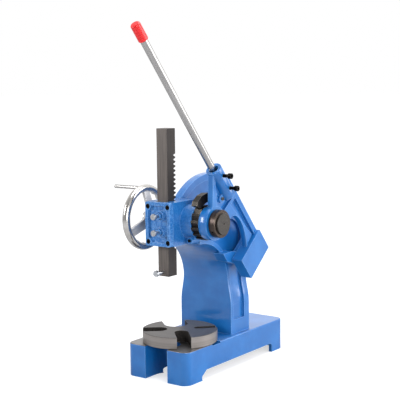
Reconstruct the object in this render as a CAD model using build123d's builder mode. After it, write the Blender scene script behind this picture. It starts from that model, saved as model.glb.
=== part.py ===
from build123d import *
from math import acos, cos, pi, radians, sin, sqrt, tan
import os

# Ratchet arbor press. Millimetres. X runs to the right seen from the front (ratchet side is +X),
# the front faces -Y, Z is up. The origin is on the floor under the axis of the ram.

os.makedirs("parts", exist_ok=True)

# ---------------------------------------------------------------- driving dimensions
# Base casting
base_half_width = 109.0
base_front = -60.0
base_rear = 453.0
base_height = 96.0
base_corner = 24.0
base_wall = 11.0
base_top = 20.0
foot_front = 73.0
foot_rear = 70.0
arch_height = 28.0
slot_half_width = 40.0
slot_end = 30.0
relief_start = 64.0
relief_end = 104.0
relief_depth = 5.0

# Column casting
column_front = 183.0
column_rear = 279.0
column_half_width = 93.0
neck_half_width = 82.0
taper_start = 180.0
taper_end = 268.0
throat_radius = 130.0
flange = 12.0
rear_flange = 26.0
foot_pad_top = 138.0
panel_recess = 8.0
core_half_width = 62.0
foot_core_half_width = 46.0
core_height = 240.0
shoulder_top = 455.0
shoulder_radius = 89.0
rib_half_width = 12.0
rib_web_half = 6.0
rib_rim = 20.0
rib_top = 576.0
rib_radius = 210.0
rib_drop = 62.0
rib_rear_radius = 79.0

# Head, ram and rack
head_half_width = 45.0
head_bottom = 386.0
head_top = 511.0
head_front = -29.0
cover_thickness = 14.0
cover_recess = 7.0
cover_half_width = 44.0
cover_border = 10.0
cover_screw_places = [(x, z) for x in (-35.0, 35.0) for z in (397.0, 498.0)]
ram_size = 38.0
ram_bottom = 296.0
ram_length = 421.0
ram_clearance = 0.06
tooth_module = 4.0
rack_start = 377.0
rack_teeth = 22
pressure_angle = 20.0
backlash = 0.30
tool_bore = 16.0
tool_bore_depth = 30.0
nose_bolt_height = 13.0

# Pinion shaft line
pinion_teeth = 18
shaft_z = 450.0
boss_radius = 50.0
lug_reach = 42.0
shaft_radius = 31.0
small_radius = 25.0
lever_bush_radius = 35.0
left_bush_radius = 32.0
ratchet_key_width = 16.0
wheel_key_width = 8.0
wheel_seat_radius = 15.0
pinion_half_length = 24.0
bush_fit = 0.03
ratchet_start = 83.0
ratchet_end = 107.0
ratchet_teeth = 15
ratchet_radius = 50.0
ratchet_root = 43.5
hub_start = 108.0
hub_end = 135.0
hub_radius = 48.0
collar_start = 135.6
collar_end = 157.0
collar_radius = 39.5
collar_screw_angle = 211.0
shaft_end = 163.0

# Handwheel
wheel_plane = -122.0
wheel_rim_radius = 86.0
wheel_tube_radius = 11.5
wheel_hub_radius = 24.0
wheel_hub_start = -86.0
wheel_hub_end = -114.0
spoke_root_plane = -98.0
spoke_half_width = 16.0
spoke_root = 17.0
handle_radius = 5.5
handle_length = 104.0

# Lever casting, bar and pawl
lever_lean = 40.0
mouth_y = 50.0
mouth_z = 606.0
socket_x = 127.0
socket_radius = 23.0
socket_bore = 14.5
socket_start = 4.0
socket_end = 108.0
socket_bottom = 92.0
set_screw_places = (29.0, 78.0)
bar_radius = 10.5
bar_outside = 500.0
bar_inside = 84.0
cap_radius = 13.5
cap_length = 48.0
web_start = 118.0
web_end = 125.0
rim_end = 135.0
rear_edge = 31.0
weight_start = 287.0
weight_end = 366.0
weight_low = -92.0
weight_high = 33.0
weight_inner = 110.0
weight_outer = 145.0
heel_inner = 92.0
heel_low = -59.0
stop_gap = 0.8
stop_top = 286.0
stop_bottom = 340.0
stop_outer = 108.0
pawl_pin_radius = 5.0
pawl_start = 85.0
pawl_end = 103.5

# Anvil plate
anvil_radius = 110.5
anvil_y = 52.0
anvil_thickness = 33.0

# ---------------------------------------------------------------- worked out from the above
rack_pitch = pi * tooth_module
pitch_radius = tooth_module * pinion_teeth / 2
rack_tip = ram_size / 2
pitch_line = rack_tip - tooth_module
shaft_y = pitch_line + pitch_radius
throat_centre_y = column_front - throat_radius
throat_centre_z = head_bottom - throat_radius
bar_x = socket_x - (socket_bore - bar_radius)
pinion_bore = tooth_module * (pinion_teeth + 2) / 2 + 1.0

SHAFT = Plane(origin=(0, shaft_y, shaft_z), x_dir=(0, 1, 0), z_dir=(1, 0, 0))
# In this plane local x runs down along the lever and local y runs out to its rear edge.
lean = radians(lever_lean)
LEVER = Plane(origin=(0, mouth_y, mouth_z), x_dir=(0, sin(lean), -cos(lean)), z_dir=(1, 0, 0))
BOTTOM = (Align.CENTER, Align.CENTER, Align.MIN)


def in_lever(y, z):
    """Place of a point of the side view in the lever's own plane."""
    local = LEVER.to_local_coords(Vector(0, y, z))
    return (local.X, local.Y)


hub_along, hub_out = in_lever(shaft_y, shaft_z)
pawl_pivot_y = 86.0
pawl_pivot_z = 516.0
pivot_along, pivot_out = in_lever(pawl_pivot_y, pawl_pivot_z)


def save(builder, name):
    """Label a finished sub-part and write its STEP file."""
    builder.part.label = name
    export_step(builder.part, f"parts/{name}.step")


def hex_bolt(size, length, across_flats, head_height):
    """Hexagon-head bolt: shank down from the origin, chamfered head above it."""
    with BuildPart() as bolt:
        with BuildSketch():
            RegularPolygon(radius=across_flats / 2, side_count=6, major_radius=False)
        extrude(amount=head_height)
        with BuildSketch():
            Circle(across_flats / 2 * 1.12)
        extrude(amount=head_height, taper=8, mode=Mode.INTERSECT)
        Cylinder(size / 2, length, align=(Align.CENTER, Align.CENTER, Align.MAX))
        tip = bolt.faces().sort_by(Axis.Z)[0]
        chamfer(tip.edges(), length=size * 0.1)
    return bolt.part


def hex_nut(size, across_flats, height):
    """Hexagon nut standing on the origin, bored for its screw."""
    with BuildPart() as nut:
        with BuildSketch():
            RegularPolygon(radius=across_flats / 2, side_count=6, major_radius=False)
            Circle(size / 2, mode=Mode.SUBTRACT)
        extrude(amount=height)
    return nut.part


def socket_screw(size, length, head_radius, head_height, key):
    """Socket-head cap screw: shank down from the origin, head with a hexagon socket above it."""
    with BuildPart() as screw:
        Cylinder(head_radius, head_height, align=BOTTOM)
        fillet(screw.edges().sort_by(Axis.Z)[-1], radius=head_height * 0.1)
        Cylinder(size / 2, length, align=(Align.CENTER, Align.CENTER, Align.MAX))
        with BuildSketch(Plane.XY.offset(head_height)):
            RegularPolygon(radius=key / 2, side_count=6, major_radius=False)
        extrude(amount=-head_height * 0.6, mode=Mode.SUBTRACT)
    return screw.part


# ---------------------------------------------------------------- base casting
column_bolt_places = [(sx * 68.0, y) for sx in (-1, 1) for y in (205.0, 257.0)]
column_bolt_size = 16.0
dowel_places = [(-68.0, 231.0), (68.0, 231.0)]
dowel_radius = 6.0
anvil_pin_radius = 8.0

with BuildPart() as base_casting:
    base_length = base_rear - base_front
    base_middle = (base_rear + base_front) / 2
    with BuildSketch():
        with Locations((0, base_middle)):
            RectangleRounded(2 * base_half_width, base_length, base_corner)
    extrude(amount=base_height)
    rim_edges = base_casting.faces().sort_by(Axis.Z)[-1].edges()
    fillet(rim_edges, radius=2.5)
    # Hollow underside, leaving the walls, the table and the foot under the column
    with BuildSketch():
        with Locations((0, base_middle)):
            RectangleRounded(2 * (base_half_width - base_wall), base_length - 2 * base_wall,
                             base_corner - base_wall)
        with Locations((0, slot_end / 2 + base_front / 2)):
            Rectangle(2 * (slot_half_width + base_wall), slot_end - base_front + 2 * base_wall,
                      mode=Mode.SUBTRACT)
    extrude(amount=base_height - base_top, mode=Mode.SUBTRACT)
    # Slot through the table, open to the front, with a round end
    with BuildSketch():
        with Locations((0, slot_end - slot_half_width)):
            Circle(slot_half_width)
        with Locations((0, base_front)):
            Rectangle(2 * slot_half_width, 2 * (slot_end - slot_half_width - base_front))
    extrude(amount=base_height, mode=Mode.SUBTRACT)
    # Arches between the feet, cut right across both sides
    with BuildSketch(Plane.YZ.offset(-base_half_width)):
        arch_start = base_front + foot_front
        arch_end = base_rear - foot_rear
        with BuildLine():
            FilletPolyline((arch_start, -1), (arch_start, arch_height * 0.45),
                           (arch_start + 22, arch_height), (arch_end - 6, arch_height),
                           (arch_end, arch_height - 6), (arch_end, -1), radius=5, close=True)
        make_face()
    extrude(amount=2 * base_half_width, mode=Mode.SUBTRACT)
    # Relief groove across the top between the machined table and the column's seat
    with BuildSketch(Plane.XY.offset(base_height)):
        with Locations((0, (relief_start + relief_end) / 2)):
            Rectangle(2 * base_half_width, relief_end - relief_start)
    extrude(amount=-relief_depth, mode=Mode.SUBTRACT)
    with Locations(Plane.XY.offset(base_height)):
        with Locations(*column_bolt_places):
            Hole(column_bolt_size / 2 + 0.5, depth=base_top)
        with Locations(*dowel_places):
            Hole(dowel_radius, depth=base_top)
        with Locations((0, anvil_y)):
            Hole(anvil_pin_radius, depth=base_top)
save(base_casting, "base_casting")

# ---------------------------------------------------------------- column casting
# Panel recess in each side: everything outside the narrower front view, within the side outline
with BuildPart() as side_recess:
    with BuildSketch(Plane.YZ.offset(-column_half_width - 1)):
        with BuildLine():
            inner_throat = throat_radius + flange
            recess_rear = column_rear - rear_flange
            top_y = throat_centre_y + inner_throat * sin(radians(12))
            top_z = throat_centre_z + inner_throat * cos(radians(12))
            start = (column_front + flange, foot_pad_top)
            straight = Line(start, (column_front + flange, throat_centre_z))
            CenterArc((throat_centre_y, throat_centre_z), inner_throat, 0, 78)
            Line((top_y, top_z), (top_y, shoulder_top - flange))
            corner = shoulder_radius - rear_flange
            Line((top_y, shoulder_top - flange), (recess_rear - corner, shoulder_top - flange))
            RadiusArc((recess_rear - corner, shoulder_top - flange),
                      (recess_rear, shoulder_top - flange - corner), corner)
            Line((recess_rear, shoulder_top - flange - corner), (recess_rear, foot_pad_top))
            Line((recess_rear, foot_pad_top), start)
        make_face()
    extrude(amount=2 * column_half_width + 2)
    with BuildSketch(Plane.XZ.offset(-column_rear - 1)) as narrow_front:
        with BuildLine():
            low = column_half_width - panel_recess
            high = neck_half_width - panel_recess
            Polyline((low, base_height - 1), (low, taper_start))
            Spline((low, taper_start), (high, taper_end), tangents=((0, 1), (0, 1)))
            Polyline((high, taper_end), (high, head_top), (0, head_top), (0, base_height - 1),
                     (low, base_height - 1))
        make_face()
        mirror(about=Plane.YZ)
    extrude(amount=column_rear - column_front + 80, mode=Mode.SUBTRACT)

with BuildPart() as column_casting:
    # Box section: the side outline, narrowed by the front view
    with BuildSketch(Plane.YZ.offset(-column_half_width)):
        with BuildLine():
            Line((column_front, base_height), (column_front, throat_centre_z))
            CenterArc((throat_centre_y, throat_centre_z), throat_radius, 0, 90)
            Polyline((throat_centre_y, head_bottom), (throat_centre_y - 8, head_bottom),
                     (throat_centre_y - 8, shoulder_top),
                     (column_rear - shoulder_radius, shoulder_top))
            RadiusArc((column_rear - shoulder_radius, shoulder_top),
                      (column_rear, shoulder_top - shoulder_radius), shoulder_radius)
            Polyline((column_rear, shoulder_top - shoulder_radius), (column_rear, base_height),
                     (column_front, base_height))
        make_face()
    extrude(amount=2 * column_half_width)
    with BuildSketch(Plane.XZ.offset(-column_rear - 1)):
        with BuildLine():
            Polyline((column_half_width, base_height), (column_half_width, taper_start))
            Spline((column_half_width, taper_start), (neck_half_width, taper_end),
                   tangents=((0, 1), (0, 1)))
            Polyline((neck_half_width, taper_end), (neck_half_width, head_top), (0, head_top),
                     (0, base_height), (column_half_width, base_height))
        make_face()
        mirror(about=Plane.YZ)
    extrude(amount=column_rear + 60, mode=Mode.INTERSECT)
    add(side_recess.part, mode=Mode.SUBTRACT)
    # Cored inside, and a smaller opening through the foot
    with BuildSketch(Plane.XY.offset(foot_pad_top)):
        with Locations((0, (column_front + column_rear) / 2)):
            Rectangle(2 * core_half_width, column_rear - column_front - 2 * flange - 4)
    extrude(amount=core_height, mode=Mode.SUBTRACT)
    with BuildSketch(Plane.XY.offset(base_height)):
        with Locations((0, (column_front + column_rear) / 2)):
            Rectangle(2 * foot_core_half_width, column_rear - column_front - 2 * flange - 4)
    extrude(amount=foot_pad_top - base_height, mode=Mode.SUBTRACT)
    # Head block and the two bosses for the pinion shaft
    with BuildSketch(Plane.XY.offset(head_bottom)):
        with Locations((0, (head_front + shaft_y + 16) / 2)):
            Rectangle(2 * head_half_width, shaft_y + 16 - head_front)
    extrude(amount=head_top - head_bottom)
    with BuildSketch(SHAFT.offset(-neck_half_width)):
        Circle(boss_radius)
    extrude(amount=2 * neck_half_width)
    # Rib over the top: a rim along the edge and a thinner web under it
    with BuildSketch(Plane.YZ.offset(-rib_half_width)):
        with BuildLine():
            rib_y = column_rear - rib_rear_radius
            rib_start = rib_y - sqrt(rib_radius ** 2 - (rib_radius - rib_drop) ** 2)
            RadiusArc((rib_start, rib_top - rib_drop), (rib_y, rib_top), rib_radius)
            RadiusArc((rib_y, rib_top), (column_rear, rib_top - rib_rear_radius), rib_rear_radius)
            Polyline((column_rear, rib_top - rib_rear_radius), (column_rear, 360),
                     (rib_start, 430), (rib_start, rib_top - rib_drop))
        make_face()
    extrude(amount=2 * rib_half_width)
    for side in (-1, 1):
        with BuildSketch(Plane.YZ.offset(side * rib_half_width)):
            with BuildLine():
                inner = rib_radius - rib_rim
                inner_rear = rib_rear_radius - rib_rim
                inner_start = rib_y - sqrt(inner ** 2 - (inner - 50) ** 2)
                RadiusArc((inner_start, rib_top - rib_rim - 50), (rib_y, rib_top - rib_rim), inner)
                RadiusArc((rib_y, rib_top - rib_rim),
                          (column_rear - rib_rim, rib_top - rib_rear_radius), inner_rear)
                Polyline((column_rear - rib_rim, rib_top - rib_rear_radius),
                         (column_rear - rib_rim, shoulder_top),
                         (inner_start, shoulder_top), (inner_start, rib_top - rib_rim - 50))
            make_face()
        extrude(amount=-side * (rib_half_width - rib_web_half), mode=Mode.SUBTRACT)
    # Cast stop for the counterweight, on the ratchet side
    stop_outline = [in_lever(y, z) for y, z in ((124, 350), (167, 351), (198, 307), (143, 325))]
    stop_edge = [(stop_top, heel_low - stop_gap), (stop_bottom, heel_low - stop_gap)]
    with BuildSketch(LEVER.offset(neck_half_width - panel_recess - 4)):
        with BuildLine():
            Polyline(*stop_outline[:2], *stop_edge, *stop_outline[2:], close=True)
        make_face()
    extrude(amount=stop_outer - neck_half_width + panel_recess + 4)
    # Small lug under the boss for the screw that locks the bush
    with BuildSketch(Plane.XZ.offset(-shaft_y)):
        with Locations((neck_half_width - 9, shaft_z - boss_radius + 1)):
            Circle(9)
    extrude(amount=lug_reach)
    # Channel for the ram and gib, open to the front under the cover
    channel_half = ram_size / 2 + ram_clearance
    with BuildSketch(Plane.XY.offset(head_bottom - 1)):
        with Locations((0, (head_front - 1 + channel_half) / 2)):
            Rectangle(2 * channel_half, channel_half - head_front + 1)
    extrude(amount=head_top - head_bottom + 2, mode=Mode.SUBTRACT)
    # Bores for the bushes, and the cavity in which the pinion turns
    with BuildSketch(SHAFT.offset(-pinion_half_length - 2)):
        Circle(pinion_bore)
    extrude(amount=neck_half_width + pinion_half_length + 3, mode=Mode.SUBTRACT)
    with BuildSketch(SHAFT.offset(-neck_half_width - 1)):
        Circle(left_bush_radius)
    extrude(amount=neck_half_width, mode=Mode.SUBTRACT)
    # Threaded holes for the cover, the foot and the bush screw
    with Locations(Plane.XZ.offset(-head_front)):
        with Locations(*cover_screw_places):
            Hole(4.0, depth=22)
    with Locations(Plane(origin=(0, 0, base_height), x_dir=(1, 0, 0), z_dir=(0, 0, -1))):
        with Locations(*[(x, -y) for x, y in column_bolt_places]):
            Hole(column_bolt_size / 2, depth=40)
        with Locations(*[(x, -y) for x, y in dowel_places]):
            Hole(dowel_radius, depth=16)
save(column_casting, "column_casting")

# ---------------------------------------------------------------- fasteners of the frame
with BuildPart() as column_bolts:
    bolt = hex_bolt(column_bolt_size, 48, 24, 10)
    for x, y in column_bolt_places:
        with Locations(Plane(origin=(x, y, base_height - base_top), z_dir=(0, 0, -1))):
            add(bolt)
save(column_bolts, "column_bolts")

with BuildPart() as column_dowels:
    for x, y in dowel_places:
        with Locations((x, y, base_height - base_top)):
            Cylinder(dowel_radius, base_top + 15, align=BOTTOM)
save(column_dowels, "column_dowels")

# ---------------------------------------------------------------- cover, gib and adjusting screws
gib_bolt_x = 4.0
gib_bolt_heights = (426.0, 472.0)
gib_bolt_size = 10.0
cover_plane = Plane.XZ.offset(-head_front)
nut_seat = cover_thickness - cover_recess + 2

with BuildPart() as front_cover:
    cover_height = head_top - head_bottom
    cover_middle = (head_top + head_bottom) / 2
    with BuildSketch(cover_plane):
        with Locations((0, cover_middle)):
            RectangleRounded(2 * cover_half_width, cover_height, 5)
    extrude(amount=cover_thickness)
    # Sunk panel inside a raised border, with pads left for the corner screws
    with BuildSketch(cover_plane.offset(cover_thickness)):
        with Locations((0, cover_middle)):
            RectangleRounded(2 * (cover_half_width - cover_border),
                             cover_height - 2 * cover_border, 4)
        with Locations(*cover_screw_places):
            Circle(11, mode=Mode.SUBTRACT)
    extrude(amount=-cover_recess, mode=Mode.SUBTRACT)
    # Ringed bosses round the adjusting bolts
    with BuildSketch(cover_plane.offset(cover_thickness - cover_recess)):
        with Locations(*[(gib_bolt_x, z) for z in gib_bolt_heights]):
            Circle(15)
    extrude(amount=5)
    with BuildSketch(cover_plane.offset(cover_thickness - cover_recess + 5)):
        with Locations(*[(gib_bolt_x, z) for z in gib_bolt_heights]):
            Circle(11.5)
    extrude(amount=-3, mode=Mode.SUBTRACT)
    with Locations(cover_plane.offset(cover_thickness)):
        with Locations(*cover_screw_places):
            CounterBoreHole(4.5, 7.5, 6.5, depth=cover_thickness)
    with Locations(cover_plane.offset(nut_seat)):
        with Locations(*[(gib_bolt_x, z) for z in gib_bolt_heights]):
            Hole(gib_bolt_size / 2, depth=nut_seat)
save(front_cover, "front_cover")

with BuildPart() as cover_screws:
    screw = socket_screw(8, 22, 6.5, 6.0, 6)
    for x, z in cover_screw_places:
        with Locations(Plane(origin=(x, head_front - cover_thickness + 6.5, z), z_dir=(0, -1, 0))):
            add(screw)
save(cover_screws, "cover_screws")

gib_back = -ram_size / 2 - ram_clearance
gib_front = head_front + 0.4
with BuildPart() as gib_strip:
    with Locations((0, (gib_back + gib_front) / 2, (head_bottom + head_top) / 2)):
        Box(ram_size - 0.4, gib_back - gib_front, head_top - head_bottom - 1)
    chamfer(gib_strip.edges().filter_by(Axis.X), length=1.0)
save(gib_strip, "gib_strip")

bolt_out = 26.0
with BuildPart() as gib_adjusting_bolts:
    shank = gib_front - (head_front - cover_thickness - bolt_out) - 7
    bolt = hex_bolt(gib_bolt_size, shank, 17, 7)
    for z in gib_bolt_heights:
        with Locations(Plane(origin=(gib_bolt_x, gib_front - shank, z), z_dir=(0, -1, 0))):
            add(bolt)
save(gib_adjusting_bolts, "gib_adjusting_bolts")

with BuildPart() as gib_lock_nuts:
    nut = hex_nut(gib_bolt_size, 17, 8)
    for z in gib_bolt_heights:
        with Locations(Plane(origin=(gib_bolt_x, head_front - nut_seat, z),
                             z_dir=(0, -1, 0))):
            add(nut)
save(gib_lock_nuts, "gib_lock_nuts")

# ---------------------------------------------------------------- ram with its rack
with BuildPart() as ram:
    with Locations((0, 0, ram_bottom)):
        Box(ram_size, ram_size, ram_length, align=BOTTOM)
    chamfer(ram.edges().filter_by(Axis.Z), length=0.8)
    end_faces = ram.faces().filter_by(Axis.Z)
    chamfer(end_faces.edges(), length=0.8)
    # Rack gaps: straight flanks at the pressure angle, sunk 1.25 modules below the pitch line
    half_gap = rack_pitch / 4 + backlash / 4
    slope = tan(radians(pressure_angle))
    deep = 1.25 * tooth_module
    above = tooth_module + 1
    with BuildSketch(Plane.YZ.offset(-ram_size / 2)):
        for i in range(rack_teeth):
            gap_z = rack_start + rack_pitch * i
            narrow = half_gap - deep * slope
            wide = half_gap + above * slope
            with BuildLine():
                Polyline((pitch_line - deep, gap_z + narrow), (pitch_line + above, gap_z + wide),
                         (pitch_line + above, gap_z - wide), (pitch_line - deep, gap_z - narrow),
                         close=True)
            make_face()
    extrude(amount=ram_size, mode=Mode.SUBTRACT)
    # Bore for a tool in the lower end, and the cross hole for its clamping bolt
    with Locations(Plane(origin=(0, 0, ram_bottom), z_dir=(0, 0, -1))):
        Hole(tool_bore / 2, depth=tool_bore_depth)
    with Locations(Plane(origin=(0, -ram_size / 2, ram_bottom + nose_bolt_height),
                         z_dir=(0, -1, 0))):
        Hole(5.0, depth=ram_size / 2)
save(ram, "ram")

with BuildPart() as ram_nose_bolt:
    nose_shank = ram_size / 2 - tool_bore / 2 - 0.4
    bolt = hex_bolt(10, nose_shank + 30, 17, 7)
    with Locations(Plane(origin=(0, -ram_size / 2 - 30, ram_bottom + nose_bolt_height),
                         z_dir=(0, -1, 0))):
        add(bolt)
save(ram_nose_bolt, "ram_nose_bolt")


# ---------------------------------------------------------------- pinion shaft
def involute_gap_points(count):
    """Half flank of a gear tooth, from its root to its tip, about the tooth's middle."""
    base_circle = pitch_radius * cos(radians(pressure_angle))
    tip_circle = pitch_radius + tooth_module
    pitch_roll = tan(radians(pressure_angle)) - radians(pressure_angle)
    half_tooth = pi / (2 * pinion_teeth) - backlash / 4 / pitch_radius
    points = []
    for i in range(count):
        radius = base_circle + (tip_circle - base_circle) * i / (count - 1)
        angle = acos(min(1.0, base_circle / radius))
        roll = tan(angle) - angle
        points.append((radius, half_tooth + pitch_roll - roll))
    return points


with BuildPart() as pinion_shaft:
    # A tooth of the pinion fits the rack gap level with the shaft, which sets its turn
    gap_count = round((shaft_z - rack_start) / rack_pitch)
    phase = (shaft_z - rack_start - gap_count * rack_pitch) / pitch_radius
    root_radius = pitch_radius - 1.25 * tooth_module
    with BuildSketch(SHAFT.offset(-pinion_half_length)):
        Circle(root_radius)
        for i in range(pinion_teeth):
            middle = pi - 2 * pi * i / pinion_teeth + phase
            flank = involute_gap_points(7)
            right = [(r * cos(middle - a), r * sin(middle - a)) for r, a in flank]
            left = [(r * cos(middle + a), r * sin(middle + a)) for r, a in reversed(flank)]
            first = flank[0][1]
            inside = root_radius - 1
            foot_right = (inside * cos(middle - first), inside * sin(middle - first))
            foot_left = (inside * cos(middle + first), inside * sin(middle + first))
            with BuildLine():
                Line(foot_right, right[0])
                Spline(*right)
                Line(right[-1], left[0])
                Spline(*left)
                Line(left[-1], foot_left)
                Line(foot_left, foot_right)
            make_face()
    extrude(amount=2 * pinion_half_length)
    for start, end, radius in ((pinion_half_length, shaft_end, shaft_radius),
                               (wheel_hub_start, -pinion_half_length, small_radius),
                               (wheel_hub_end + 1, wheel_hub_start, wheel_seat_radius)):
        with BuildSketch(SHAFT.offset(start)):
            Circle(radius)
        extrude(amount=end - start)
    chamfer(pinion_shaft.faces().sort_by(Axis.X)[-1].edges(), length=1.5)
    # Centre-drilled right end, threaded left end, and the two keyways
    with Locations(SHAFT.offset(shaft_end)):
        CounterSinkHole(1.6, 3.5, depth=9)
    with Locations(Plane(origin=(wheel_hub_end + 1, shaft_y, shaft_z), z_dir=(-1, 0, 0))):
        Hole(5.0, depth=32)
    with BuildSketch(SHAFT.offset(ratchet_start)):
        with Locations((0, shaft_radius - 3)):
            Rectangle(ratchet_key_width, 6)
    extrude(amount=ratchet_end - ratchet_start, mode=Mode.SUBTRACT)
    with BuildSketch(SHAFT.offset(wheel_hub_end + 1)):
        with Locations((0, wheel_seat_radius - 1.5)):
            Rectangle(wheel_key_width, 3)
    extrude(amount=wheel_hub_start - wheel_hub_end - 1, mode=Mode.SUBTRACT)
save(pinion_shaft, "pinion_shaft")

# ---------------------------------------------------------------- bushes
with BuildPart() as pinion_bush_right:
    with BuildSketch(SHAFT.offset(pinion_half_length + 2)):
        Circle(pinion_bore)
        Circle(shaft_radius + bush_fit, mode=Mode.SUBTRACT)
    extrude(amount=neck_half_width - pinion_half_length - 2)
save(pinion_bush_right, "pinion_bush_right")

with BuildPart() as pinion_bush_left:
    with BuildSketch(SHAFT.offset(-neck_half_width)):
        Circle(left_bush_radius)
        Circle(small_radius + bush_fit, mode=Mode.SUBTRACT)
    extrude(amount=neck_half_width - pinion_half_length - 2)
save(pinion_bush_left, "pinion_bush_left")

# ---------------------------------------------------------------- ratchet wheel, key and collar
with BuildPart() as ratchet_wheel:
    with BuildSketch(SHAFT.offset(ratchet_start)):
        # Saw teeth: a radial step, a short tip land, then a long back down to the next root
        step = 2 * pi / ratchet_teeth
        corners = []
        for i in range(ratchet_teeth):
            angle = i * step
            corners.append((ratchet_root * cos(angle), ratchet_root * sin(angle)))
            corners.append((ratchet_radius * cos(angle), ratchet_radius * sin(angle)))
            land = angle + step * 0.3
            corners.append((ratchet_radius * cos(land), ratchet_radius * sin(land)))
        with BuildLine():
            Polyline(*corners, close=True)
        make_face()
        Circle(shaft_radius, mode=Mode.SUBTRACT)
        with Locations((0, shaft_radius)):
            Rectangle(ratchet_key_width, 8.4, mode=Mode.SUBTRACT)
    extrude(amount=ratchet_end - ratchet_start)
save(ratchet_wheel, "ratchet_wheel")

with BuildPart() as ratchet_key:
    with BuildSketch(SHAFT.offset(ratchet_start)):
        with Locations((0, shaft_radius - 1)):
            Rectangle(ratchet_key_width, 10)
    extrude(amount=ratchet_end - ratchet_start)
save(ratchet_key, "ratchet_key")

collar_turn = radians(collar_screw_angle)
with BuildPart() as shaft_collar:
    with BuildSketch(SHAFT.offset(collar_start)):
        Circle(collar_radius)
    extrude(amount=collar_end - collar_start)
    chamfer(shaft_collar.edges(), length=1.5)
    with BuildSketch(SHAFT.offset(collar_start)):
        Circle(shaft_radius)
    extrude(amount=collar_end - collar_start, mode=Mode.SUBTRACT)
    collar_middle = (collar_start + collar_end) / 2
    screw_plane = Plane(origin=(collar_middle, shaft_y, shaft_z),
                        z_dir=(0, cos(collar_turn), sin(collar_turn)))
    with BuildSketch(screw_plane.offset(shaft_radius - 1)):
        Circle(4)
    extrude(amount=12, mode=Mode.SUBTRACT)
save(shaft_collar, "shaft_collar")

with BuildPart() as collar_set_screw:
    with BuildSketch(screw_plane.offset(shaft_radius + 0.1)):
        Circle(4)
    extrude(amount=5.5)
    with BuildSketch(screw_plane.offset(shaft_radius + 5.6)):
        RegularPolygon(radius=2, side_count=6, major_radius=False)
    extrude(amount=-3, mode=Mode.SUBTRACT)
save(collar_set_screw, "collar_set_screw")

with BuildPart() as bush_set_screw:
    lug_plane = Plane(origin=(neck_half_width - 9, shaft_y - lug_reach,
                              shaft_z - boss_radius + 1), z_dir=(0, -1, 0))
    with BuildSketch(lug_plane):
        Circle(4.5)
    extrude(amount=3)
    with BuildSketch(lug_plane.offset(3)):
        RegularPolygon(radius=2.5, side_count=6, major_radius=False)
    extrude(amount=-2, mode=Mode.SUBTRACT)
save(bush_set_screw, "bush_set_screw")

# ---------------------------------------------------------------- handwheel
with BuildPart() as handwheel:
    with BuildSketch(SHAFT.offset(wheel_hub_end)):
        Circle(wheel_hub_radius)
    extrude(amount=wheel_hub_start - wheel_hub_end)
    fillet(handwheel.edges(), radius=2.5)
    # Three flat spokes, dished out from the hub to the rim, the first straight up
    for turn in (90.0, 210.0, 330.0):
        # Edge on to the spoke: local x is along the shaft and local y runs out to the rim
        edge_on = Plane(origin=(0, shaft_y, shaft_z), x_dir=(1, 0, 0),
                        z_dir=(0, -sin(radians(turn)), cos(radians(turn))))
        with BuildSketch(edge_on.offset(-spoke_half_width)):
            with BuildLine():
                Polyline((spoke_root_plane - 5, spoke_root), (wheel_plane - 5, wheel_rim_radius),
                         (wheel_plane + 5, wheel_rim_radius), (spoke_root_plane + 5, spoke_root),
                         close=True)
            make_face()
        extrude(amount=2 * spoke_half_width)
    with BuildSketch(Plane(origin=(wheel_plane, shaft_y, shaft_z), x_dir=(1, 0, 0),
                           z_dir=(0, -1, 0))):
        with Locations((0, wheel_rim_radius)):
            Circle(wheel_tube_radius)
    revolve(axis=Axis((wheel_plane, shaft_y, shaft_z), (1, 0, 0)))
    with BuildSketch(SHAFT.offset(wheel_hub_end)):
        Circle(wheel_seat_radius)
        with Locations((0, wheel_seat_radius)):
            Rectangle(wheel_key_width, 8)
    extrude(amount=wheel_hub_start - wheel_hub_end, mode=Mode.SUBTRACT)
    # Threaded hole for the crank handle in the top of the rim
    with BuildSketch(SHAFT.offset(wheel_plane)):
        with Locations((0, wheel_rim_radius)):
            Circle(4)
    extrude(amount=-wheel_tube_radius - 1, mode=Mode.SUBTRACT)
save(handwheel, "handwheel")

with BuildPart() as handwheel_key:
    with BuildSketch(SHAFT.offset(wheel_hub_end + 1)):
        with Locations((0, wheel_seat_radius + 0.5)):
            Rectangle(wheel_key_width, 7)
    extrude(amount=wheel_hub_start - wheel_hub_end - 1)
save(handwheel_key, "handwheel_key")

with BuildPart() as handwheel_handle:
    with BuildSketch(SHAFT.offset(wheel_plane)):
        with Locations((0, wheel_rim_radius)):
            Circle(4)
    extrude(amount=-wheel_tube_radius)
    with BuildSketch(SHAFT.offset(wheel_plane - wheel_tube_radius)):
        with Locations((0, wheel_rim_radius)):
            Circle(handle_radius)
    extrude(amount=-handle_length)
    fillet(handwheel_handle.faces().sort_by(Axis.X)[0].edges(), radius=2)
save(handwheel_handle, "handwheel_handle")

with BuildPart() as handwheel_washer:
    with BuildSketch(SHAFT.offset(wheel_hub_end)):
        Circle(wheel_seat_radius + 4)
        Circle(5.0, mode=Mode.SUBTRACT)
    extrude(amount=-4)
save(handwheel_washer, "handwheel_washer")

with BuildPart() as handwheel_bolt:
    with Locations(Plane(origin=(wheel_hub_end - 4, shaft_y, shaft_z), z_dir=(-1, 0, 0))):
        add(hex_bolt(10, 30, 17, 7))
save(handwheel_bolt, "handwheel_bolt")

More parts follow.
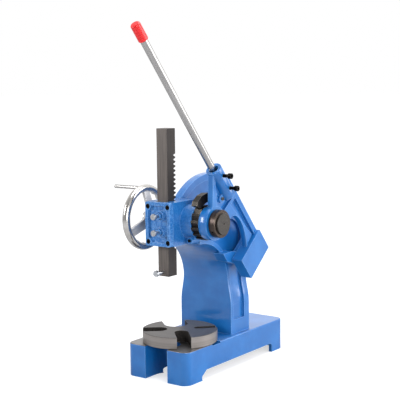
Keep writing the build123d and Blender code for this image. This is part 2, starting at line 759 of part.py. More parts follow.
# ---------------------------------------------------------------- lever casting
with BuildPart() as lever_casting:
    # Web: from the socket past the hub, then the arm down to the counterweight
    with BuildSketch(LEVER.offset(web_start)):
        with BuildLine():
            Polyline((8, -18), (8, 18), (70, rear_edge), (weight_start + 20, rear_edge),
                     (weight_start + 20, -45), (weight_start, -38))
            Spline((weight_start, -38), (245, -16), (178, -16), (hub_along + 40, hub_out + 26))
            Polyline((hub_along + 40, hub_out + 26), (hub_along, hub_out),
                     (hub_along - 44, hub_out + 18), (8, -18))
        make_face()
        with Locations((hub_along, hub_out)):
            Circle(hub_radius)
    extrude(amount=web_end - web_start)
    # Ribs that stand up from the web to the outer face
    with BuildSketch(LEVER.offset(web_start)):
        with BuildLine():
            Polyline((60, rear_edge), (weight_start + 10, rear_edge), (weight_start + 10, 15),
                     (100, 15), (60, 20), close=True)
        make_face()
        with BuildLine():
            Polyline((6, -20), (6, -10), (hub_along - 34, hub_out + 36),
                     (hub_along - 44, hub_out + 18), close=True)
        make_face()
        with BuildLine():
            Polyline((124, 20), (134, 20), (131, -55), (121, -55), close=True)
        make_face()
        with BuildLine():
            Spline((weight_start, -38), (245, -16), (178, -16), (hub_along + 40, hub_out + 26))
            Polyline((hub_along + 40, hub_out + 26), (hub_along, hub_out), (hub_along + 4, -16),
                     (weight_start - 8, 4), (weight_start, -38))
        make_face()
    extrude(amount=rim_end - web_start)
    with BuildSketch(LEVER.offset(hub_start)):
        with Locations((hub_along, hub_out)):
            Circle(hub_radius)
    extrude(amount=hub_end - hub_start)
    # Counterweight, with a heel behind it that rests on the stop of the column
    with BuildSketch(LEVER.offset(weight_inner)):
        with BuildLine():
            FilletPolyline((weight_start, weight_low), (weight_end, weight_low),
                           (weight_end, weight_high), (weight_start, weight_high),
                           radius=3, close=True)
        make_face()
    extrude(amount=weight_outer - weight_inner)
    with BuildSketch(LEVER.offset(heel_inner)):
        with BuildLine():
            FilletPolyline((weight_start + 8, heel_low), (weight_end, heel_low),
                           (weight_end, weight_high), (weight_start + 8, weight_high),
                           radius=3, close=True)
        make_face()
    extrude(amount=weight_inner - heel_inner)
    # Pawl boss, on both sides of the web
    with BuildSketch(LEVER.offset(pawl_end + 0.5)):
        with Locations((pivot_along, pivot_out)):
            Circle(12)
    extrude(amount=132 - pawl_end - 0.5)
    # Socket for the bar
    socket = Plane(origin=(socket_x, mouth_y, mouth_z), z_dir=(0, sin(lean), -cos(lean)))
    with BuildSketch(socket.offset(socket_start)):
        Circle(socket_radius)
    extrude(amount=socket_end - socket_start)
    with BuildSketch(socket.offset(socket_start)):
        Circle(socket_bore)
    extrude(amount=socket_bottom - socket_start, mode=Mode.SUBTRACT)
    # Bore of the hub and the holes for the set screws and the pawl pin
    with BuildSketch(LEVER.offset(hub_start - 6)):
        with Locations((hub_along, hub_out)):
            Circle(lever_bush_radius)
    extrude(amount=hub_end - hub_start + 8, mode=Mode.SUBTRACT)
    with BuildSketch(LEVER.offset(socket_x)):
        with Locations(*((along, 0) for along in set_screw_places)):
            Circle(5)
    extrude(amount=socket_radius + 2, mode=Mode.SUBTRACT)
    with BuildSketch(LEVER.offset(pawl_end)):
        with Locations((pivot_along, pivot_out)):
            Circle(pawl_pin_radius)
    extrude(amount=40, mode=Mode.SUBTRACT)
save(lever_casting, "lever_casting")

with BuildPart() as lever_bush:
    with BuildSketch(SHAFT.offset(hub_start)):
        Circle(lever_bush_radius)
        Circle(shaft_radius + bush_fit, mode=Mode.SUBTRACT)
    extrude(amount=hub_end - hub_start)
save(lever_bush, "lever_bush")

bar_plane = Plane(origin=(bar_x, mouth_y, mouth_z), z_dir=(0, -sin(lean), cos(lean)))
with BuildPart() as lever_bar:
    with BuildSketch(bar_plane.offset(-bar_inside)):
        Circle(bar_radius)
    extrude(amount=bar_inside + bar_outside - 5)
    chamfer(lever_bar.edges(), length=1)
save(lever_bar, "lever_bar")

with BuildPart() as lever_cap:
    with BuildSketch(bar_plane.offset(bar_outside - cap_length)):
        Circle(cap_radius)
    extrude(amount=cap_length + 2)
    tip = lever_cap.faces().sort_by(Axis.Z)[-1]
    fillet(tip.edges(), radius=5)
    with BuildSketch(bar_plane.offset(bar_outside - cap_length)):
        Circle(bar_radius)
    extrude(amount=cap_length - 5, mode=Mode.SUBTRACT)
save(lever_cap, "lever_cap")

with BuildPart() as lever_set_screws:
    set_screw_tip = bar_x + bar_radius
    set_screw_head = socket_x + socket_radius + 18
    screw = socket_screw(10, set_screw_head - set_screw_tip, 8, 10, 8)
    for along in set_screw_places:
        place = LEVER.from_local_coords(Vector(along, 0, set_screw_head))
        with Locations(Plane(origin=place, z_dir=(1, 0, 0))):
            add(screw)
save(lever_set_screws, "lever_set_screws")

# ---------------------------------------------------------------- pawl
with BuildPart() as pawl:
    with BuildSketch(Plane.YZ.offset(pawl_start)):
        with BuildLine():
            FilletPolyline((88, 531), (52, 534), (28, 528), (8, 514), (3, 501), (22, 494.6),
                           (44, 505), (62, 512), (76, 505), radius=1.5, close=True)
        make_face()
        with Locations((pawl_pivot_y, pawl_pivot_z)):
            Circle(14)
            Circle(pawl_pin_radius + 0.05, mode=Mode.SUBTRACT)
    extrude(amount=pawl_end - pawl_start)
save(pawl, "pawl")

with BuildPart() as pawl_pin:
    with BuildSketch(Plane.YZ.offset(pawl_start - 0.5)):
        with Locations((pawl_pivot_y, pawl_pivot_z)):
            Circle(pawl_pin_radius)
    extrude(amount=136 - pawl_start)
save(pawl_pin, "pawl_pin")

# ---------------------------------------------------------------- anvil plate and its pin
with BuildPart() as anvil_pin:
    with Locations((0, anvil_y, base_height - base_top)):
        Cylinder(anvil_pin_radius, base_top + 14, align=BOTTOM)
    chamfer(anvil_pin.edges().sort_by(Axis.Z)[-1], length=1.5)
save(anvil_pin, "anvil_pin")

# Each slot: its direction in plan, its width and how near its end comes to the centre
anvil_slots = ((219.0, 46.0, 36.0), (314.0, 41.0, 22.0), (138.0, 70.0, 26.0), (47.0, 22.0, 42.0))
with BuildPart() as anvil_plate:
    with BuildSketch(Plane.XY.offset(base_height)):
        with Locations((0, anvil_y)):
            Circle(anvil_radius)
    extrude(amount=anvil_thickness)
    chamfer(anvil_plate.edges(), length=1.0)
    for turn, width, inner in anvil_slots:
        cut = Plane(origin=(0, anvil_y, base_height), z_dir=(0, 0, 1),
                    x_dir=(cos(radians(turn)), sin(radians(turn)), 0))
        with BuildSketch(cut):
            round_end = inner + width / 2
            with Locations((round_end, 0)):
                Circle(width / 2)
            with Locations(((round_end + anvil_radius) / 2 + 5, 0)):
                Rectangle(anvil_radius - round_end + 10, width)
        extrude(amount=anvil_thickness, mode=Mode.SUBTRACT)
    with Locations(Plane(origin=(0, anvil_y, base_height), z_dir=(0, 0, -1))):
        Hole(anvil_pin_radius + 0.05, depth=16)
save(anvil_plate, "anvil_plate")
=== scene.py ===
from math import cos, pi, radians, sin

import bmesh
import bpy
import numpy as np
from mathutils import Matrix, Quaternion, Vector


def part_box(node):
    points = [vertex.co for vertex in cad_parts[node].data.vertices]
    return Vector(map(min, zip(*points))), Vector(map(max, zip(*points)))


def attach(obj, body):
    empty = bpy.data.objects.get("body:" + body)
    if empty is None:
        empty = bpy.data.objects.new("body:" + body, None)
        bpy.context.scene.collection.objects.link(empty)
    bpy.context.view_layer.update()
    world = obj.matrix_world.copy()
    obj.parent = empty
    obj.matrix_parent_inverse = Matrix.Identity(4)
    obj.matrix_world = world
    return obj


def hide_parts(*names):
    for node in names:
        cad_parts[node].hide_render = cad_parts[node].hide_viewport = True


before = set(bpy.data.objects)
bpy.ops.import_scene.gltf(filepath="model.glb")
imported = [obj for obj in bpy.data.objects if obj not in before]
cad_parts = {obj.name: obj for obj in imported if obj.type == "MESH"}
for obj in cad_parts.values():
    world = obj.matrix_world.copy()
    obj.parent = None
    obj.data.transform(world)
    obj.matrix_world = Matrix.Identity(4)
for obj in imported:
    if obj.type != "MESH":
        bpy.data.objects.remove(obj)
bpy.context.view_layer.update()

MM = 0.001
scene = bpy.context.scene

# ---------------------------------------------------------------- camera
# A standing viewer's eye, to the right of the press and in front of it, a little above its middle.
azimuth = radians(36.4)
downward = radians(6.66)
roll = radians(-0.66)
back = Vector((sin(azimuth) * cos(downward), -cos(azimuth) * cos(downward), sin(downward)))
camera_data = bpy.data.cameras.new("camera")
camera_data.lens = 88.5
camera_data.sensor_width = 36.0
camera_data.shift_x = 0.0008
camera_data.shift_y = -0.0031
camera_data.clip_end = 100.0
camera = bpy.data.objects.new("camera", camera_data)
camera.rotation_mode = "QUATERNION"
camera.rotation_quaternion = back.to_track_quat("Z", "Y") @ Quaternion((0, 0, 1), roll)
camera.location = (1.7213, -2.1767, 0.8396)
scene.collection.objects.link(camera)
scene.camera = camera
scene.view_settings.view_transform = "Standard"


# ---------------------------------------------------------------- floor and studio light
# A white sweep of studio paper, a white room in front of the lens, a darker room behind it, and
# four softboxes: two at the right, a wide one overhead and a small one at the left.
def srgb(hex_colour):
    """Linear RGBA of an sRGB hex colour."""
    parts = [int(hex_colour[i:i + 2], 16) / 255 for i in (1, 3, 5)]
    return [c / 12.92 if c <= 0.04045 else ((c + 0.055) / 1.055) ** 2.4 for c in parts] + [1.0]


def add_node(tree, kind, inputs=None, **settings):
    """Adds one node. A setting is the node's own property; an input is a value or a socket to link."""
    made = tree.nodes.new(kind)
    for name, value in settings.items():
        setattr(made, name, value)
    for name, value in (inputs or {}).items():
        socket = made.inputs[name]
        if isinstance(value, bpy.types.NodeSocket):
            tree.links.new(value, socket)
        else:
            socket.default_value = value
    return made


def link_mesh(name, vertices, faces, smooth=True):
    """A mesh object at the origin from arrays of points and of quads or triangles."""
    mesh = bpy.data.meshes.new(name)
    mesh.from_pydata(np.asarray(vertices, float).tolist(), [], faces)
    mesh.polygons.foreach_set("use_smooth", [smooth] * len(mesh.polygons))
    made = bpy.data.objects.new(name, mesh)
    scene.collection.objects.link(made)
    return made


def sheet_faces(rows, columns, wrap_rows=False, wrap_columns=False):
    """Quads that join a grid of rows by columns points, closed round where it wraps."""
    i = np.arange(rows if wrap_rows else rows - 1)[:, None]
    j = np.arange(columns if wrap_columns else columns - 1)[None, :]
    here = i * columns + j
    right = i * columns + (j + 1) % columns
    below = (i + 1) % rows * columns + j
    across = (i + 1) % rows * columns + (j + 1) % columns
    return np.stack([here, right, across, below], -1).reshape(-1, 4)


# The paper: one wide flat sheet, whose far edge is lost in the white room
across = np.linspace(-60.0, 60.0, 9)
along = np.linspace(-60.0, 60.0, 49)
sweep_y, sweep_x = np.meshgrid(along, across, indexing="ij")
sweep_z = np.zeros_like(sweep_y)
sweep = link_mesh("studio_paper", np.stack([sweep_x, sweep_y, sweep_z], -1).reshape(-1, 3),
                  sheet_faces(len(along), len(across))[:, ::-1].tolist())
paper = bpy.data.materials.new("matt_white_studio_paper")
paper.use_nodes = True
tree = paper.node_tree
shader = tree.nodes["Principled BSDF"]
# Faint paper tooth, drawn 30 mm across. To the lens it glows to white; the press sees a duller sheet
tooth = add_node(tree, "ShaderNodeTexNoise", {
    "Vector": add_node(tree, "ShaderNodeTexCoord").outputs["Object"], "Scale": 1 / 0.030}).outputs["Fac"]
tone = add_node(tree, "ShaderNodeMix", {0: tooth}, data_type="RGBA")
tone.inputs[6].default_value = srgb("#b4b5b8")
tone.inputs[7].default_value = srgb("#b8b9bb")
tree.links.new(tone.outputs[2], shader.inputs["Base Color"])
glow = add_node(tree, "ShaderNodeMapRange", {
    "Value": add_node(tree, "ShaderNodeLightPath").outputs["Is Camera Ray"],
    "To Min": 0.0, "To Max": 0.62})
tree.links.new(glow.outputs["Result"], shader.inputs["Emission Strength"])
shader.inputs["Emission Color"].default_value = srgb("#ffffff")
shader.inputs["Roughness"].default_value = 0.95
shader.inputs["Specular IOR Level"].default_value = 0.1
sweep.data.materials.append(paper)

room = bpy.data.worlds.new("studio_room")
scene.world = room
room.use_nodes = True
tree = room.node_tree
tree.nodes.clear()
direction = add_node(tree, "ShaderNodeTexCoord").outputs["Generated"]
parts = add_node(tree, "ShaderNodeSeparateXYZ", {"Vector": direction})
depth = add_node(tree, "ShaderNodeMapRange", {"Value": parts.outputs["Y"], "From Min": -0.55,
                                              "From Max": 0.35, "To Min": 0.36, "To Max": 1.2})
lit = add_node(tree, "ShaderNodeBackground", {"Color": (1, 1, 1, 1),
                                              "Strength": depth.outputs["Result"]})
seen = add_node(tree, "ShaderNodeBackground", {"Color": (1, 1, 1, 1), "Strength": 1.0})
ray = add_node(tree, "ShaderNodeLightPath")
both = add_node(tree, "ShaderNodeMixShader", {0: ray.outputs["Is Camera Ray"]})
tree.links.new(lit.outputs[0], both.inputs[1])
tree.links.new(seen.outputs[0], both.inputs[2])
add_node(tree, "ShaderNodeOutputWorld", {"Surface": both.outputs[0]})

for name, place, size, power in (("softbox_right", (2.2, 1.5, 0.9), (1.5, 2.0), 42.0),
                                 ("softbox_front", (2.5, -1.5, 1.0), (1.2, 1.6), 46.0),
                                 ("softbox_top", (0.3, 0.3, 2.8), (1.8, 1.8), 46.0),
                                 ("softbox_left", (-1.7, -2.0, 1.5), (0.7, 1.1), 44.0)):
    light = bpy.data.lights.new(name, "AREA")
    light.shape = "RECTANGLE"
    light.size, light.size_y = size
    light.energy = power
    lamp = bpy.data.objects.new(name, light)
    lamp.location = place
    aim = Vector((0, 0.15, 0.45)) - Vector(place)
    lamp.rotation_mode = "QUATERNION"
    lamp.rotation_quaternion = aim.to_track_quat("-Z", "Y")
    scene.collection.objects.link(lamp)


# ---------------------------------------------------------------- base casting
# Grey cast iron, sand-cast, filled and sprayed with blue machine enamel. Its front table is milled
# bare and stays as ground grey iron as far as the relief groove; the slot takes work pressed through.
def finish_of(node, material):
    """Gives a CAD node its material, and its record's finish stays the same."""
    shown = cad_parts[node]
    shown.data.materials.clear()
    shown.data.materials.append(material)
    return shown


def ease_edges(node, width, angle=28.0, segments=2):
    """Rounds a casting's sharp edges: welds its triangles, joins flat ones, then bevels what is left."""
    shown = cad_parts[node]
    weld = shown.modifiers.new("weld", "WELD")
    weld.merge_threshold = 2e-6
    join = shown.modifiers.new("join_flats", "DECIMATE")
    join.decimate_type = "DISSOLVE"
    join.angle_limit = radians(0.6)
    bevel = shown.modifiers.new("eased_edges", "BEVEL")
    bevel.width = width
    bevel.segments = segments
    bevel.limit_method = "ANGLE"
    bevel.angle_limit = radians(angle)
    bevel.use_clamp_overlap = True
    bevel.harden_normals = True
    return shown


def new_finish(name):
    """A material with its tree, Object coordinates in metres and its Principled shader."""
    made = bpy.data.materials.new(name)
    made.use_nodes = True
    tree = made.node_tree
    shader = tree.nodes["Principled BSDF"]
    place = add_node(tree, "ShaderNodeTexCoord").outputs["Object"]
    return made, tree, place, shader


def between(tree, value, low, high):
    """A socket that is 0 where value is at or below low, 1 at high, and smooth between."""
    return add_node(tree, "ShaderNodeMapRange", {"Value": value, "From Min": low, "From Max": high},
                    interpolation_type="SMOOTHSTEP").outputs["Result"]


def mix_colour(tree, share, first, second, blend="MIX"):
    """Mixes two colours, each a socket or a linear RGBA, by a share."""
    made = add_node(tree, "ShaderNodeMix", data_type="RGBA", blend_type=blend)
    for index, value in ((0, share), (6, first), (7, second)):
        if isinstance(value, bpy.types.NodeSocket):
            tree.links.new(value, made.inputs[index])
        else:
            made.inputs[index].default_value = value
    return made.outputs[2]


def math(tree, operation, *values):
    """One Math node on sockets or numbers."""
    return add_node(tree, "ShaderNodeMath", dict(enumerate(values)), operation=operation).outputs[0]


def edge_share(tree, radius):
    """0 on flats and 1 on outer or inner edges: how far rounding the edge would turn the normal."""
    rounded = add_node(tree, "ShaderNodeBevel", {"Radius": radius}, samples=6)
    true = add_node(tree, "ShaderNodeNewGeometry")
    dot = add_node(tree, "ShaderNodeVectorMath", {0: rounded.outputs["Normal"],
                                                  1: true.outputs["Normal"]},
                   operation="DOT_PRODUCT")
    return between(tree, dot.outputs["Value"], 0.995, 0.86)


def blue_enamel(name, pebbled=None):
    """Sprayed alkyd machine enamel on cast iron: mid-gloss, evenly blue, softly uneven as cast.
    pebbled is a function of the place's X, Y and Z sockets that says where it is hammered."""
    made, tree, place, shader = new_finish(name)
    axes = add_node(tree, "ShaderNodeSeparateXYZ", {"Vector": place})
    # Cast skin under the paint: waves some 60 mm long, and orange peel drawn at 6 mm, coarser
    # than the real 1 mm, so that it shows at all
    waves = add_node(tree, "ShaderNodeTexNoise", {"Vector": place, "Scale": 1 / 0.060,
                                                  "Detail": 3.0}).outputs["Fac"]
    peel = add_node(tree, "ShaderNodeTexNoise", {"Vector": place, "Scale": 1 / 0.006,
                                                 "Detail": 2.0}).outputs["Fac"]
    blue = mix_colour(tree, between(tree, waves, 0.35, 0.7), srgb("#0c5fa6"), srgb("#186ab2"))
    edge = edge_share(tree, 0.0030)
    # Pale blue along outer and inner edges: a painted highlight of the rounded edges, and partly paint
    # drawn thin there
    blue = mix_colour(tree, math(tree, "MULTIPLY", edge, 0.55), blue, srgb("#7fb0e6"))
    rough = add_node(tree, "ShaderNodeMapRange", {"Value": peel, "To Min": 0.26, "To Max": 0.36})
    height = math(tree, "MULTIPLY", peel, 0.35)
    if pebbled:
        # Hammered enamel: round pebbles about 4.5 mm across with paler crowns
        where = pebbled(tree, axes)
        cells = add_node(tree, "ShaderNodeTexVoronoi", {"Vector": place, "Scale": 1 / 0.0045},
                         feature="SMOOTH_F1").outputs["Distance"]
        crowns = math(tree, "MULTIPLY", between(tree, cells, 0.65, 0.1), where)
        blue = mix_colour(tree, math(tree, "MULTIPLY", crowns, 0.22), blue, srgb("#5c98d4"))
        height = math(tree, "ADD", height, math(tree, "MULTIPLY", crowns, 2.0))
    bump = add_node(tree, "ShaderNodeBump", {"Height": height, "Strength": 0.5,
                                             "Distance": 0.0003})
    tree.links.new(blue, shader.inputs["Base Color"])
    tree.links.new(rough.outputs["Result"], shader.inputs["Roughness"])
    tree.links.new(bump.outputs["Normal"], shader.inputs["Normal"])
    shader.inputs["IOR"].default_value = 1.5
    shader.inputs["Coat Weight"].default_value = 0.5
    shader.inputs["Coat Roughness"].default_value = 0.12
    return made, tree, axes, shader


def take_over(tree, shader, socket, share, value):
    """Mixes a plain value or colour over what already drives a shader's socket."""
    target = shader.inputs[socket]
    old = target.links[0].from_socket if target.links else target.default_value
    if isinstance(value, (list, tuple)) or getattr(value, "type", "") == "RGBA":
        mixed = mix_colour(tree, share, old, value)
    else:
        mixed = add_node(tree, "ShaderNodeMix", {0: share, 2: old, 3: value},
                         data_type="FLOAT").outputs[0]
    tree.links.new(mixed, target)


base_paint, tree, axes, shader = blue_enamel("blue_enamel_on_base_casting")
# Bare milled iron on the table: above the top of the rounded rim, and in front of the groove
on_top = between(tree, axes.outputs["Z"], 0.0944, 0.0950)
in_front = between(tree, axes.outputs["Y"], 0.0646, 0.0640)
bare = math(tree, "MULTIPLY", on_top, in_front)
# Cutter marks across the table, drawn 3 mm apart, coarser than the real feed so that they show
cuts = add_node(tree, "ShaderNodeTexNoise", {"Vector": add_node(tree, "ShaderNodeMapping", {
    "Vector": add_node(tree, "ShaderNodeTexCoord").outputs["Object"],
    "Scale": (20.0, 330.0, 20.0)}).outputs[0], "Scale": 1.0, "Detail": 2.0}).outputs["Fac"]
iron = mix_colour(tree, cuts, srgb("#595654"), srgb("#726f6d"))
take_over(tree, shader, "Base Color", bare, iron)
take_over(tree, shader, "Metallic", bare, 0.85)
take_over(tree, shader, "Roughness", bare, 0.42)
finish_of("base_casting", base_paint)
ease_edges("base_casting", 1.5 * MM)


# ---------------------------------------------------------------- column casting and front cover
# One hollow iron casting, bolted to the base from below: column, throat, ram head and the two
# shaft bosses. The same enamel, brushed on thicker and hammered on the head and its cover plate.
def on_head(tree, axes):
    """1 at the head, fading away down the throat and back towards the bosses."""
    high = between(tree, axes.outputs["Z"], 0.345, 0.385)
    front = between(tree, axes.outputs["Y"], 0.105, 0.045)
    return math(tree, "MULTIPLY", high, front)


def everywhere(tree, axes):
    """1 all over."""
    return math(tree, "ADD", axes.outputs["Z"], 2.0)


column_paint = blue_enamel("blue_enamel_on_column_casting", on_head)[0]
finish_of("column_casting", column_paint)
ease_edges("column_casting", 2.5 * MM, segments=3)
cover_paint = blue_enamel("hammered_blue_enamel", everywhere)[0]
finish_of("front_cover", cover_paint)
ease_edges("front_cover", 0.8 * MM)


# ---------------------------------------------------------------- fasteners
# Bright zinc-plated gib bolts and black-oxide socket screws, turned and rolled from steel; the gib lock
# nuts are in the cover's hammered blue enamel.
def metal(name, dark, light, rough, grain=0.004, stretch=(1, 1, 1), worn=None, metallic=1.0,
          relief=0.00002, turn=0.0):
    """Bare or plated metal: two close tones in a grain of a given size, drawn out along one axis of
    coordinates turned about X, with paler worn edges where a worn colour is given."""
    made, tree, place, shader = new_finish(name)
    turned = add_node(tree, "ShaderNodeVectorRotate", {"Vector": place, "Angle": turn},
                      rotation_type="X_AXIS").outputs[0]
    drawn = add_node(tree, "ShaderNodeMapping", {"Vector": turned, "Scale": stretch}).outputs[0]
    marks = add_node(tree, "ShaderNodeTexNoise", {"Vector": drawn, "Scale": 1 / grain,
                                                  "Detail": 3.0}).outputs["Fac"]
    tone = mix_colour(tree, between(tree, marks, 0.3, 0.7), srgb(dark), srgb(light))
    if worn:
        tone = mix_colour(tree, math(tree, "MULTIPLY", edge_share(tree, 0.0012), 0.8), tone,
                          srgb(worn))
    spread = add_node(tree, "ShaderNodeMapRange", {"Value": marks, "To Min": rough * 0.85,
                                                   "To Max": rough * 1.15})
    bump = add_node(tree, "ShaderNodeBump", {"Height": marks, "Strength": 0.4,
                                             "Distance": relief})
    tree.links.new(tone, shader.inputs["Base Color"])
    tree.links.new(spread.outputs["Result"], shader.inputs["Roughness"])
    tree.links.new(bump.outputs["Normal"], shader.inputs["Normal"])
    shader.inputs["Metallic"].default_value = metallic
    return made, tree, place, shader


zinc = metal("bright_zinc_plate", "#a8abaf", "#cfd1d4", 0.30)[0]
black_screws = metal("black_oxide_screws", "#121110", "#1d1b1a", 0.38, worn="#4a4643")[0]
for node in ("gib_adjusting_bolts", "ram_nose_bolt"):
    finish_of(node, zinc)
for node in ("cover_screws", "lever_set_screws", "bush_set_screw", "collar_set_screw"):
    finish_of(node, black_screws)
plain_steel = metal("plain_turned_steel", "#77746f", "#8e8b86", 0.4)[0]
for node in ("column_bolts", "column_dowels", "gib_strip"):
    finish_of(node, plain_steel)
finish_of("gib_lock_nuts", cover_paint)

# ---------------------------------------------------------------- ram
# A 38 mm square bar of carbon steel with rack teeth hobbed into its rear face, heat-blackened and
# oiled; its faces keep faint long grinding lines.
ram_steel, tree, _, shader = metal("blackened_ram_steel", "#544e4b", "#645d59", 0.5, grain=0.003,
                                   stretch=(1, 1, 0.04), worn="#7d7874", metallic=0.45)
# The two sides are darker and rougher than the front
out_of_side = add_node(tree, "ShaderNodeSeparateXYZ", {
    "Vector": add_node(tree, "ShaderNodeTexCoord").outputs["Normal"]}).outputs["X"]
sideways = between(tree, math(tree, "ABSOLUTE", out_of_side), 0.5, 0.8)
take_over(tree, shader, "Base Color", math(tree, "MULTIPLY", sideways, 0.85), srgb("#292524"))
take_over(tree, shader, "Roughness", sideways, 0.68)
finish_of("ram", ram_steel)

# ---------------------------------------------------------------- pinion shaft, ratchet and collar
# Turned steel shaft in bronze bushes. The saw-toothed ratchet and the collar are black oxide, and
# rubbed paler on the tips of the teeth and along the collar's turned edges.
black_oxide = metal("black_oxide_steel", "#2a2725", "#38342f", 0.42, worn="#9a948a",
                    metallic=0.8)[0]
for node in ("ratchet_wheel", "ratchet_key", "pawl", "pawl_pin"):
    finish_of(node, black_oxide)
collar_oxide = metal("turned_collar_black_oxide", "#3c3330", "#4c423d", 0.36, worn="#8d8570",
                     metallic=0.85)[0]
finish_of("shaft_collar", collar_oxide)
finish_of("pinion_shaft", metal("oiled_shaft_steel", "#3a3735", "#4a4744", 0.42,
                                metallic=0.85)[0])
bronze = metal("cast_bronze", "#8a6a3c", "#a27f4b", 0.38)[0]
for node in ("pinion_bush_right", "pinion_bush_left", "lever_bush"):
    finish_of(node, bronze)

# ---------------------------------------------------------------- handwheel
# Cast iron handwheel, polished and chrome plated: a round rim with finger grips on its machine
# side, three flat spokes and a stepped hub keyed to the shaft, with a steel rod for a crank.
wheel_low, wheel_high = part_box("handwheel")
rim_tube = 11.5 * MM
rim_radius = (wheel_high.z - wheel_low.z) / 2 - rim_tube
rim_x = wheel_low.x + rim_tube
shaft_y = (wheel_low.y + wheel_high.y) / 2
shaft_z = (wheel_low.z + wheel_high.z) / 2
hub_left = -114 * MM
hub_right = wheel_high.x
spoke_root = -98 * MM
spoke_start = 17 * MM
spoke_turns = (90, 210, 330)
spoke_half_width = 16.5 * MM
spoke_taper = 3.0 * MM
spoke_half_depth = 4.8 * MM
grips = 18
grip_depth = 3.6 * MM
grip_side = radians(205)
hub_bore = 15.2 * MM
chrome, tree, place, shader = metal("polished_chrome_plate", "#b9b6b2", "#cbc8c4", 0.17, grain=0.02,
                                    metallic=0.9, relief=0.00001)
# The rim is buffed bright; the spokes and the hub inside it keep a satin brushed face
centred = add_node(tree, "ShaderNodeMapping", {
    "Vector": place, "Location": (0, -shaft_y, -shaft_z)}).outputs[0]
outward = add_node(tree, "ShaderNodeVectorMath", {0: centred, 1: (0, 1, 1)},
                   operation="MULTIPLY").outputs[0]
reach = add_node(tree, "ShaderNodeVectorMath", {0: outward}, operation="LENGTH").outputs["Value"]
satin = between(tree, reach, rim_radius - 0.2 * rim_tube, rim_radius - 0.7 * rim_tube)
take_over(tree, shader, "Roughness", satin, 0.42)
take_over(tree, shader, "Metallic", satin, 0.45)
take_over(tree, shader, "Base Color", satin, srgb("#c4c3c2"))


def rim_surface(turns, rounds):
    """Points of the rim. A ring of tube about the shaft's axis; the tube's radius is cut by a raised
    cosine along the ring, deepest where the tube faces the machine and the hub."""
    turn = np.linspace(0, 2 * pi, turns, endpoint=False)[:, None]
    round_ = np.linspace(0, 2 * pi, rounds, endpoint=False)[None, :]
    facing = np.clip(np.cos(round_ - grip_side), 0, 1) ** 1.5
    wave = 0.5 - 0.5 * np.cos(grips * turn)
    tube = rim_tube - grip_depth * facing * wave ** 0.7
    reach = rim_radius + tube * np.cos(round_)
    x = rim_x + tube * np.sin(round_) + 0 * turn
    return np.stack([x, shaft_y + reach * np.cos(turn), shaft_z + reach * np.sin(turn)], -1)


def spoke_surface(turn, steps, rounds):
    """Points of one spoke. A flattened oval carried in a straight line from the hub out to the rim,
    which lies further from the machine; it widens a little where it meets each of them."""
    out = np.linspace(spoke_start, rim_radius, steps)[:, None]
    share = (out - out.min()) / np.ptp(out)
    around = np.linspace(0, 2 * pi, rounds, endpoint=False)[None, :]
    ease = np.sign(np.cos(around)) * np.abs(np.cos(around)) ** 0.35
    rise = np.sign(np.sin(around)) * np.abs(np.sin(around)) ** 0.6
    flare = 1 + 0.12 * np.exp(-(share / 0.12) ** 2) + 0.22 * np.exp(-((1 - share) / 0.1) ** 2)
    wide = (spoke_half_width - spoke_taper * share) * flare * ease
    x = spoke_root + (rim_x - spoke_root) * share + spoke_half_depth * rise
    y = shaft_y + out * cos(turn) - wide * sin(turn)
    z = shaft_z + out * sin(turn) + wide * cos(turn)
    return np.stack([x, y, z], -1)


def turned_surface(profile, rounds):
    """Points of a turned piece: a profile of (x, radius) pairs carried round the shaft's axis."""
    profile = np.asarray(profile, float)
    around = np.linspace(0, 2 * pi, rounds, endpoint=False)[None, :]
    x = profile[:, :1] + 0 * around
    return np.stack([x, shaft_y + profile[:, 1:] * np.cos(around),
                     shaft_z + profile[:, 1:] * np.sin(around)], -1)


def join_surfaces(name, surfaces):
    """One object from several grids, each given as (points, wraps along rows, closes its ends)."""
    vertices, faces, start = [], [], 0
    for points, wraps, capped in surfaces:
        rows, columns = points.shape[:2]
        vertices.append(points.reshape(-1, 3))
        faces += (sheet_faces(rows, columns, wraps, True) + start).tolist()
        if capped:
            faces.append((np.arange(columns) + start).tolist())
            faces.append((np.arange(columns)[::-1] + start + (rows - 1) * columns).tolist())
        start += rows * columns
    made = link_mesh(name, np.concatenate(vertices), faces)
    grid = bmesh.new()
    grid.from_mesh(made.data)
    bmesh.ops.recalc_face_normals(grid, faces=grid.faces)
    grid.to_mesh(made.data)
    grid.free()
    return made


hub_profile = [(hub_left, hub_bore), (hub_left, 20 * MM), (hub_left + 0.6 * MM, 21.3 * MM),
               (hub_left + 2 * MM, 22 * MM), (hub_left + 8 * MM, 22.4 * MM),
               (hub_left + 11 * MM, 24 * MM), (hub_right - 2 * MM, 24 * MM),
               (hub_right - 0.6 * MM, 23.4 * MM), (hub_right, 22 * MM),
               (hub_right, hub_bore)]
wheel = join_surfaces("handwheel_chromed", [
    (rim_surface(360, 40), True, False),
    *[(spoke_surface(radians(turn), 24, 28), False, True) for turn in spoke_turns],
    (turned_surface(hub_profile, 72), True, False)])
wheel.data.materials.append(chrome)
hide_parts("handwheel")
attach(wheel, "pinion")
for node in ("handwheel_washer", "handwheel_bolt", "handwheel_key"):
    finish_of(node, zinc)
finish_of("handwheel_handle", metal("drawn_steel_rod", "#9a9896", "#b9b7b5", 0.3, grain=0.003,
                                    stretch=(0.05, 1, 1))[0])

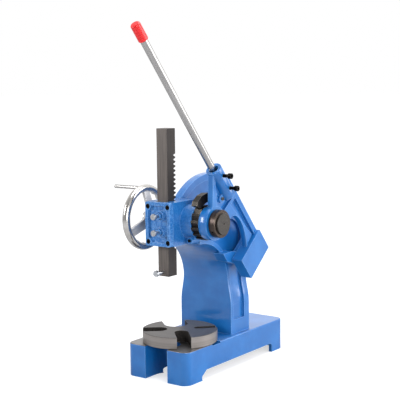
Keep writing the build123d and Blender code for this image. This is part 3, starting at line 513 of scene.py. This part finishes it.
# ---------------------------------------------------------------- lever casting, bar and cap
# The lever arm is an enamelled iron casting with a ribbed web, a socket and a counterweight. Its
# bar is bright drawn steel with a dipped red PVC grip, held by two black screws.
lever_paint = blue_enamel("blue_enamel_on_lever_casting")[0]
finish_of("lever_casting", lever_paint)
ease_edges("lever_casting", 1.2 * MM)
lean = radians(40.0)
bar_steel = metal("bright_drawn_steel", "#a3a19f", "#b8b6b4", 0.24, grain=0.0025,
                  stretch=(1, 1, 0.02), turn=-lean)[0]
finish_of("lever_bar", bar_steel)
red = metal("dipped_red_pvc", "#cf1119", "#dd1d20", 0.34, grain=0.008, metallic=0.0,
            relief=0.00008)[0]
finish_of("lever_cap", red)

# ---------------------------------------------------------------- anvil plate
# A cast iron disc with four slots of different widths: its faces are ground, its rim is turned,
# and the slots keep their rough black casting skin. It turns on a pin in the table.
anvil_low, anvil_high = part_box("anvil_plate")
anvil_iron, tree, place, shader = new_finish("ground_cast_iron_anvil")
axes = add_node(tree, "ShaderNodeSeparateXYZ", {"Vector": place})
centred = add_node(tree, "ShaderNodeMapping", {
    "Vector": place, "Location": (0, -(anvil_low.y + anvil_high.y) / 2, 0)}).outputs[0]
outward = add_node(tree, "ShaderNodeVectorMath", {0: centred, 1: (1, 1, 0)},
                   operation="MULTIPLY").outputs[0]
reach = add_node(tree, "ShaderNodeVectorMath", {0: outward}, operation="LENGTH").outputs["Value"]
grit = add_node(tree, "ShaderNodeTexNoise", {"Vector": place, "Scale": 1 / 0.004,
                                             "Detail": 4.0}).outputs["Fac"]
# Turning and grinding rings, drawn 4 mm apart so that they show
rings = add_node(tree, "ShaderNodeTexNoise", {
    "Vector": add_node(tree, "ShaderNodeCombineXYZ", {
        "X": reach, "Z": axes.outputs["Z"]}).outputs[0],
    "Scale": 1 / 0.004, "Detail": 2.0}).outputs["Fac"]
ground = mix_colour(tree, between(tree, rings, 0.3, 0.7), srgb("#4f4b49"), srgb("#5a5654"))
facing = add_node(tree, "ShaderNodeTexCoord").outputs["Normal"]
side = between(tree, math(tree, "ABSOLUTE", add_node(tree, "ShaderNodeSeparateXYZ", {
    "Vector": facing}).outputs["Z"]), 0.6, 0.3)
inside = between(tree, reach, 0.1100, 0.1094)
slot_wall = math(tree, "MULTIPLY", side, inside)
skin = mix_colour(tree, between(tree, grit, 0.35, 0.65), srgb("#14110f"), srgb("#2b2623"))
# The rim is lighter than the top
rim_tone = mix_colour(tree, between(tree, rings, 0.3, 0.7), srgb("#8b8581"), srgb("#99938f"))
ground = mix_colour(tree, side, ground, rim_tone)
colour = mix_colour(tree, slot_wall, ground, skin)
colour = mix_colour(tree, math(tree, "MULTIPLY", edge_share(tree, 0.0012), 0.5), colour,
                    srgb("#b0aba6"))
tree.links.new(colour, shader.inputs["Base Color"])
tree.links.new(add_node(tree, "ShaderNodeMapRange", {
    "Value": slot_wall, "To Min": 0.40, "To Max": 0.8}).outputs["Result"],
    shader.inputs["Roughness"])
tree.links.new(add_node(tree, "ShaderNodeMapRange", {
    "Value": slot_wall, "To Min": 0.85, "To Max": 0.2}).outputs["Result"],
    shader.inputs["Metallic"])
relief = math(tree, "ADD", math(tree, "MULTIPLY", rings, 0.2),
              math(tree, "MULTIPLY", grit, math(tree, "MULTIPLY", slot_wall, 2.0)))
tree.links.new(add_node(tree, "ShaderNodeBump", {
    "Height": relief, "Strength": 0.5, "Distance": 0.0002}).outputs["Normal"],
    shader.inputs["Normal"])
finish_of("anvil_plate", anvil_iron)
finish_of("anvil_pin", plain_steel)
